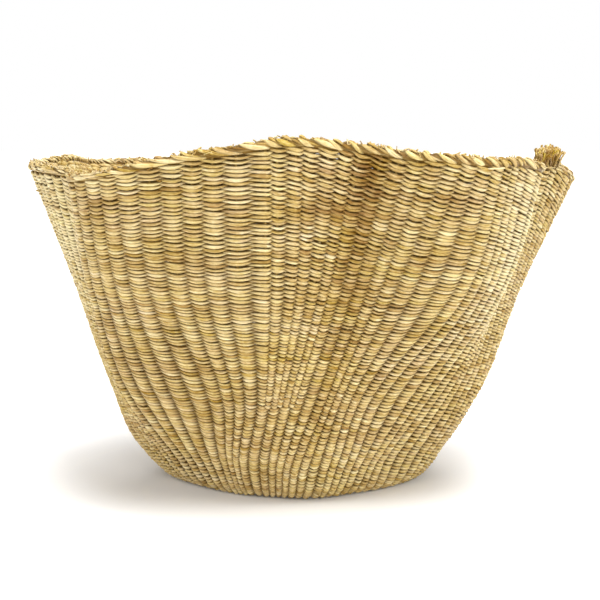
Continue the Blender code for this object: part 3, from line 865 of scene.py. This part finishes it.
class BASKET_OT_trim_ends(bpy.types.Operator):
    """Set the trimmed ends of the plait where it finishes"""
    bl_idname = "basket.trim_ends"
    bl_label = "Trim ends"

    def execute(self, context):
        scene = context.scene
        skin = Skin(scene.basket_shape)
        rng = np.random.default_rng(61)
        strands = []
        first, last = TAIL_PLACES
        middle = (first + last) / 2
        for _ in range(230):
            place = rng.uniform(first + 0.1, last - 0.1)
            run = np.linspace(0, 1, 6)
            length = rng.uniform(0.0095, 0.0145) * (1 - 0.12 * abs(place - middle))
            number = place + (rng.normal(0, 0.17) + 0.08 * (place - middle)) * run ** 1.5
            out_by = rng.normal(0, 0.0020) + rng.normal(0, 0.0018) * run ** 1.6
            up_by = 0.0055 + length * run + rng.normal(0, 0.0003)
            path = skin.border(number, out_by, up_by)
            path += rng.normal(0, 0.0003, size=path.shape) * run[:, None]
            _, _, out, _ = skin.frame(number, np.full(len(run), skin.top))
            # Painted shade darkens each end towards the rim it stands out of.
            core = skin.border(number, out_by, np.full(len(run), 0.002))
            strands.append(new_strand(path, out, rng.uniform(0.0014, 0.0026), rng.uniform(0.0010, 0.0016),
                                      rng.normal(0.46, 0.20), core, 0.013, rng.normal(0, 0.4)))
        material = material_named("cut_straw", scene.basket_colours, darker=0.05)
        piece = build_strands("trimmed_ends", strands, 5, material, 61)
        finish_piece(piece, "trimmed_straw", "rim_tail")
        return {"FINISHED"}


class BASKET_OT_leave_ends(bpy.types.Operator):
    """Leave the ends and fine fibres of straw that stick out of the rim and the wall"""
    bl_idname = "basket.leave_ends"
    bl_label = "Leave ends"

    def execute(self, context):
        scene = context.scene
        skin = Skin(scene.basket_shape)
        rng = np.random.default_rng(71)
        border = scene.basket_shape.border_width
        run = np.linspace(0, 1, 5)
        ends = []
        for place, station, length, lean, tone in LOOSE_ENDS:
            core, round_it, out, along = skin.frame(np.full(5, place), np.full(5, station))
            path = core + out * (0.0022 + 0.5 * length * run[:, None] ** 0.8)
            path += unit(round_it) * lean * length * run[:, None] + along * 0.35 * length * run[:, None]
            # Painted shade darkens each end near the wall it leaves.
            ends.append(new_strand(path, along, 0.0015, 0.0010, tone, core, 0.003))
        for _ in range(760):
            place = rng.uniform(0, PLACES)
            inside = rng.random() < 0.45
            number = place + rng.normal(0, 0.30 if inside else 0.18) * run ** 1.5
            out_by = (-0.0030 if inside else 0.0004) + rng.normal(0, 0.0012) * np.ones(5)
            out_by = out_by + rng.normal(0, 0.0010) * run
            up_by = border - 0.0012 - 150 * out_by ** 2 + rng.uniform(0.0006, 0.0030) * run
            path = skin.border(number, out_by, up_by)
            _, _, out, _ = skin.frame(number, np.full(5, skin.top))
            # Painted shade darkens each fibre at its edges and near the rim's core.
            core = skin.border(number, np.zeros(5), np.full(5, 0.3 * border))
            ends.append(new_strand(path, out, rng.uniform(0.0005, 0.0013), rng.uniform(0.0004, 0.0008),
                                   rng.normal(0.60 if inside else 0.48, 0.22), core, 0.0045,
                                   rng.normal(0, 0.4)))
        material = material_named("cut_straw", scene.basket_colours, darker=0.05)
        piece = build_strands("loose_ends", ends, 5, material, 71)
        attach(piece, "root")
        return {"FINISHED"}


# Studio

def area_lamp(name, power, size, place, target, colour):
    data = bpy.data.lights.new(name, "AREA")
    data.energy = power
    data.size = size
    data.color = colour
    lamp = bpy.data.objects.new(name, data)
    lamp.location = place
    lamp.rotation_euler = (Vector(target) - Vector(place)).to_track_quat("-Z", "Y").to_euler()
    bpy.context.scene.collection.objects.link(lamp)


def seen_directly(tree):
    """One where the ray comes from the camera, or by a reflection or through glass."""
    path = tree.nodes.new("ShaderNodeLightPath")
    total = path.outputs["Is Camera Ray"]
    for output in ("Is Glossy Ray", "Is Transmission Ray"):
        either = tree.nodes.new("ShaderNodeMath")
        either.operation = "MAXIMUM"
        link(tree, total, either.inputs[0])
        link(tree, path.outputs[output], either.inputs[1])
        total = either.outputs["Value"]
    return total


def floor_material(colour):
    material = bpy.data.materials.new("studio_floor")
    material.use_nodes = True
    tree = material.node_tree
    shader = tree.nodes["Principled BSDF"]
    shader.inputs["Base Color"].default_value = colour
    shader.inputs["Roughness"].default_value = 0.9
    shader.inputs["Specular IOR Level"].default_value = 0.0
    shader.inputs["Emission Color"].default_value = (1.0, 1.0, 1.0, 1.0)
    place = tree.nodes.new("ShaderNodeTexCoord")
    away = tree.nodes.new("ShaderNodeVectorMath")
    away.operation = "DISTANCE"
    link(tree, place.outputs["Object"], away.inputs[0])
    away.inputs[1].default_value = (-0.03, 0.0, 0.0)
    fade = tree.nodes.new("ShaderNodeMapRange")
    fade.interpolation_type = "SMOOTHSTEP"
    link(tree, away.outputs["Value"], fade.inputs["Value"])
    fade.inputs["From Min"].default_value = 0.09
    fade.inputs["From Max"].default_value = 0.30
    fade.inputs["To Min"].default_value = 0.0
    fade.inputs["To Max"].default_value = 1.0
    lift = tree.nodes.new("ShaderNodeMath")
    lift.operation = "MULTIPLY"
    link(tree, seen_directly(tree), lift.inputs[0])
    link(tree, fade.outputs["Result"], lift.inputs[1])
    link(tree, lift.outputs["Value"], shader.inputs["Emission Strength"])
    return material


class BASKET_OT_set_studio(bpy.types.Operator):
    """Set the floor, the lamps, the white surround and the camera"""
    bl_idname = "basket.set_studio"
    bl_label = "Set studio"

    def execute(self, context):
        scene = context.scene
        studio = scene.basket_studio
        shape = bmesh.new()
        bmesh.ops.create_grid(shape, x_segments=1, y_segments=1, size=6.0)
        mesh = bpy.data.meshes.new("floor")
        shape.to_mesh(mesh)
        shape.free()
        mesh.materials.append(floor_material(studio.floor_colour))
        floor = bpy.data.objects.new("floor", mesh)
        floor.location.z = -0.0006
        scene.collection.objects.link(floor)

        world = bpy.data.worlds.new("studio_surround")
        world.use_nodes = True
        scene.world = world
        tree = world.node_tree
        sky = tree.nodes["Background"]
        sky.inputs["Color"].default_value = (1.0, 1.0, 1.0, 1.0)
        strength = tree.nodes.new("ShaderNodeMapRange")
        link(tree, seen_directly(tree), strength.inputs["Value"])
        strength.inputs["To Min"].default_value = studio.sky
        strength.inputs["To Max"].default_value = 1.0
        link(tree, strength.outputs["Result"], sky.inputs["Strength"])

        target = (0.0, 0.0, 0.12)
        area_lamp("top_lamp", studio.top_power, 0.8, (0.15, -0.40, 1.60), target, (1.0, 0.99, 0.96))
        area_lamp("front_lamp", studio.front_power, 1.0, (0.20, -1.70, 0.60), target, (1.0, 0.99, 0.96))
        area_lamp("right_lamp", studio.right_power, 0.8, (1.45, -0.35, 0.55), target, (1.0, 0.99, 0.97))
        area_lamp("left_lamp", studio.left_power, 0.8, (-1.45, -0.35, 0.60), target, (1.0, 0.99, 0.98))
        area_lamp("back_lamp", studio.back_power, 1.0, (0.10, 1.30, 1.10), target, (1.0, 0.99, 0.98))

        data = bpy.data.cameras.new("camera")
        data.sensor_width = 36.0
        data.lens = studio.camera_lens
        camera = bpy.data.objects.new("camera", data)
        camera.location = (0.0, -studio.camera_distance, studio.camera_height)
        camera.rotation_euler = (math.pi / 2 - studio.camera_tilt, 0.0, 0.0)
        scene.collection.objects.link(camera)
        scene.camera = camera
        scene.view_settings.view_transform = "Standard"
        return {"FINISHED"}


STEPS = (BASKET_OT_weave_centre, BASKET_OT_set_stakes, BASKET_OT_twine_base, BASKET_OT_twine_wall,
         BASKET_OT_plait_rim, BASKET_OT_trim_ends, BASKET_OT_leave_ends, BASKET_OT_set_studio)


class BASKET_PT_panel(bpy.types.Panel):
    """Lists the steps that build the basket"""
    bl_idname = "BASKET_PT_panel"
    bl_label = "Belly basket"
    bl_space_type = "VIEW_3D"
    bl_region_type = "UI"
    bl_category = "Basket"

    def draw(self, context):
        for step in STEPS:
            self.layout.operator(step.bl_idname)
        for group in GROUPS:
            settings = getattr(context.scene, group)
            for name in settings.bl_rna.properties.keys():
                if name not in ("rna_type", "name"):
                    self.layout.prop(settings, name)


GROUPS = {"basket_shape": BasketShape, "basket_straw": StrawSizes, "basket_colours": StrawColours,
          "basket_studio": StudioSettings}
CLASSES = (*GROUPS.values(), *STEPS, BASKET_PT_panel)


def register():
    for item in CLASSES:
        bpy.utils.register_class(item)
    for name, group in GROUPS.items():
        setattr(bpy.types.Scene, name, bpy.props.PointerProperty(type=group))


def unregister():
    for name in GROUPS:
        delattr(bpy.types.Scene, name)
    for item in reversed(CLASSES):
        bpy.utils.unregister_class(item)


def clear_scene():
    """Removes the start-up scene's own camera, cube and lamp."""
    for name in ("Camera", "Cube", "Light"):
        thing = bpy.data.objects.get(name)
        if thing is not None:
            bpy.data.objects.remove(thing, do_unlink=True)


def main():
    register()
    clear_scene()
    for step in STEPS:
        group, name = step.bl_idname.split(".")
        if getattr(getattr(bpy.ops, group), name)() != {"FINISHED"}:
            raise RuntimeError(f"{step.bl_label} didn't finish")
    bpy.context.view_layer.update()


if __name__ == "__main__":
    main()
